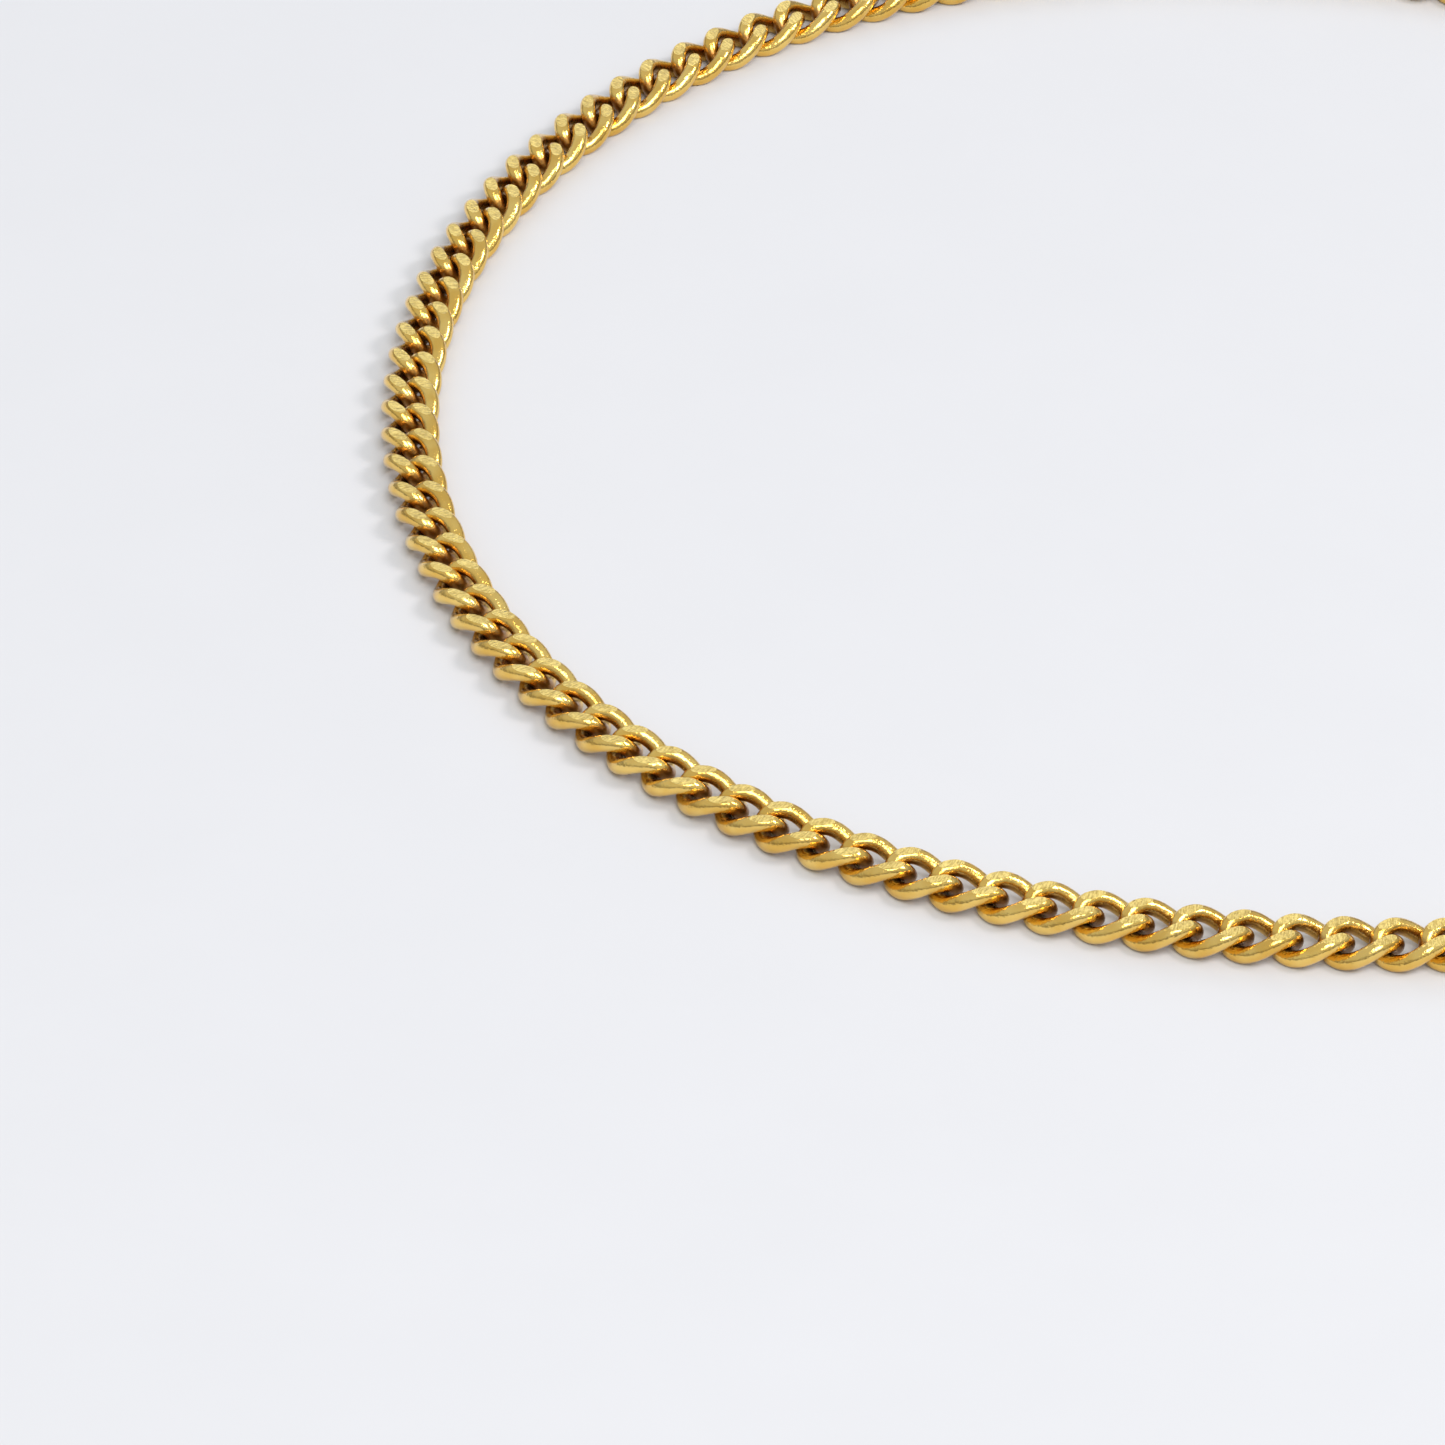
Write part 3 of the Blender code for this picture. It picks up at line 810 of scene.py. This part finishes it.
def clasp_body_mesh():
    middle = HOUSING_CENTRE.z
    housing = turned_mesh(HOUSING_CENTRE, HOUSING_RADIUS, HOUSING_HALF_HEIGHT, HOUSING_EDGE)
    return cast_mesh("clasp_body", housing, [
        (swept_mesh(HOOK_LINE, middle), "UNION"),
        (box_mesh(NECK_LOW, NECK_HIGH), "UNION"),
        (eye_mesh(), "UNION"),
        (box_mesh(SLOT_LOW, SLOT_HIGH), "DIFFERENCE"),
        (pin_hole(), "DIFFERENCE"),
    ])


def clasp_lever_mesh():
    middle = Vector((PIVOT.x, PIVOT.y, 0.5 * (HUB_BOTTOM + HUB_TOP)))
    hub = turned_mesh(middle, HUB_RADIUS, 0.5 * (HUB_TOP - HUB_BOTTOM), HUB_EDGE)
    return cast_mesh("clasp_lever", hub, [
        (swept_mesh(LEVER_LINE, PIVOT.z), "UNION"),
        (swept_mesh(THUMB_LINE, PIVOT.z), "UNION"),
        (pin_hole(), "DIFFERENCE"),
    ])


def clasp_pin_mesh():
    middle = Vector((PIVOT.x, PIVOT.y, HOUSING_CENTRE.z))
    return turned_mesh(middle, PIN_RADIUS, PIN_HALF_HEIGHT, PIN_EDGE)


def build_clasp(gold_cast, steel):
    turn = chain_end("clasp_ring_swing").to_3x3().to_4x4()
    pivot_place = Matrix.Translation(joint_named("clasp_lever_open")["pos_m"])
    place = pivot_place @ turn @ Matrix.Translation(-PIVOT)
    add_clasp_piece("clasp_body", "clasp", clasp_body_mesh(), gold_cast, place)
    add_clasp_piece("clasp_lever", "clasp_lever", clasp_lever_mesh(), gold_cast, place)
    add_clasp_piece("clasp_pin", "clasp", clasp_pin_mesh(), gold_cast, place)
    add_clasp_piece("clasp_spring", "clasp", spring_mesh(), steel, place)


# ---- floor, lights, camera ------------------------------------------------
def build_stage():
    bm = bmesh.new()
    bmesh.ops.create_grid(bm, x_segments=1, y_segments=1, size=FLOOR_HALF_SIZE)
    place = Matrix.Translation((0.0, 0.0, -FLOOR_DROP))
    floor = new_object("floor", mesh_from(bm, "floor"), place)
    floor.data.materials.append(table_material("paper"))


def add_light(name, place, size, power, colour):
    """An area light that faces the middle of the chain."""
    data = bpy.data.lights.new(name, "AREA")
    data.shape = "RECTANGLE"
    data.size = size[0]
    data.size_y = size[1]
    data.energy = power
    data.color = colour
    light = bpy.data.objects.new(name, data)
    bpy.context.scene.collection.objects.link(light)
    turn = (-Vector(place)).to_track_quat("-Z", "Y").to_matrix().to_4x4()
    light.matrix_world = Matrix.Translation(place) @ turn


def build_world():
    """A dim studio: pale overhead, dark near the horizon and below it."""
    world = bpy.data.worlds.new("studio")
    bpy.context.scene.world = world
    world.use_nodes = True
    tree = world.node_tree
    background = tree.nodes["Background"]
    coords = tree.nodes.new("ShaderNodeTexCoord")
    split = tree.nodes.new("ShaderNodeSeparateXYZ")
    tree.links.new(coords.outputs["Generated"], split.inputs[0])
    ramp = tree.nodes.new("ShaderNodeMapRange")
    ramp.interpolation_type = "SMOOTHSTEP"
    ramp.inputs["From Min"].default_value = WORLD_DARK_BELOW
    ramp.inputs["From Max"].default_value = WORLD_PALE_ABOVE
    ramp.inputs["To Min"].default_value = WORLD_DARK
    ramp.inputs["To Max"].default_value = WORLD_PALE
    tree.links.new(split.outputs["Z"], ramp.inputs["Value"])
    tree.links.new(ramp.outputs["Result"], background.inputs["Strength"])
    background.inputs["Color"].default_value = WORLD_COLOUR


def build_camera():
    data = bpy.data.cameras.new("camera")
    data.lens = CAMERA_LENS
    data.sensor_width = CAMERA_SENSOR
    data.clip_start = CAMERA_NEAR
    data.clip_end = CAMERA_FAR
    camera = bpy.data.objects.new("camera", data)
    bpy.context.scene.collection.objects.link(camera)
    camera.matrix_world = (
        Matrix.Translation(CAMERA_PLACE)
        @ Matrix.Rotation(CAMERA_YAW, 4, "Z")
        @ Matrix.Rotation(0.5 * math.pi - CAMERA_DOWN, 4, "X")
    )
    bpy.context.scene.camera = camera
    bpy.context.scene.view_settings.view_transform = "Standard"


gold = gold_material("gold")
build_links(gold)
gold_cast = gold_material("gold_cast", link=False)
build_jump_ring("clasp_jump_ring", "clasp_ring_swing", gold_cast)
build_jump_ring("end_jump_ring", "end_ring_swing", gold_cast)
build_clasp(gold_cast, steel_material("drawn_steel"))
build_stage()
build_world()
build_camera()
for name, place, size, power, colour in LIGHTS:
    add_light(name, place, size, power, colour)
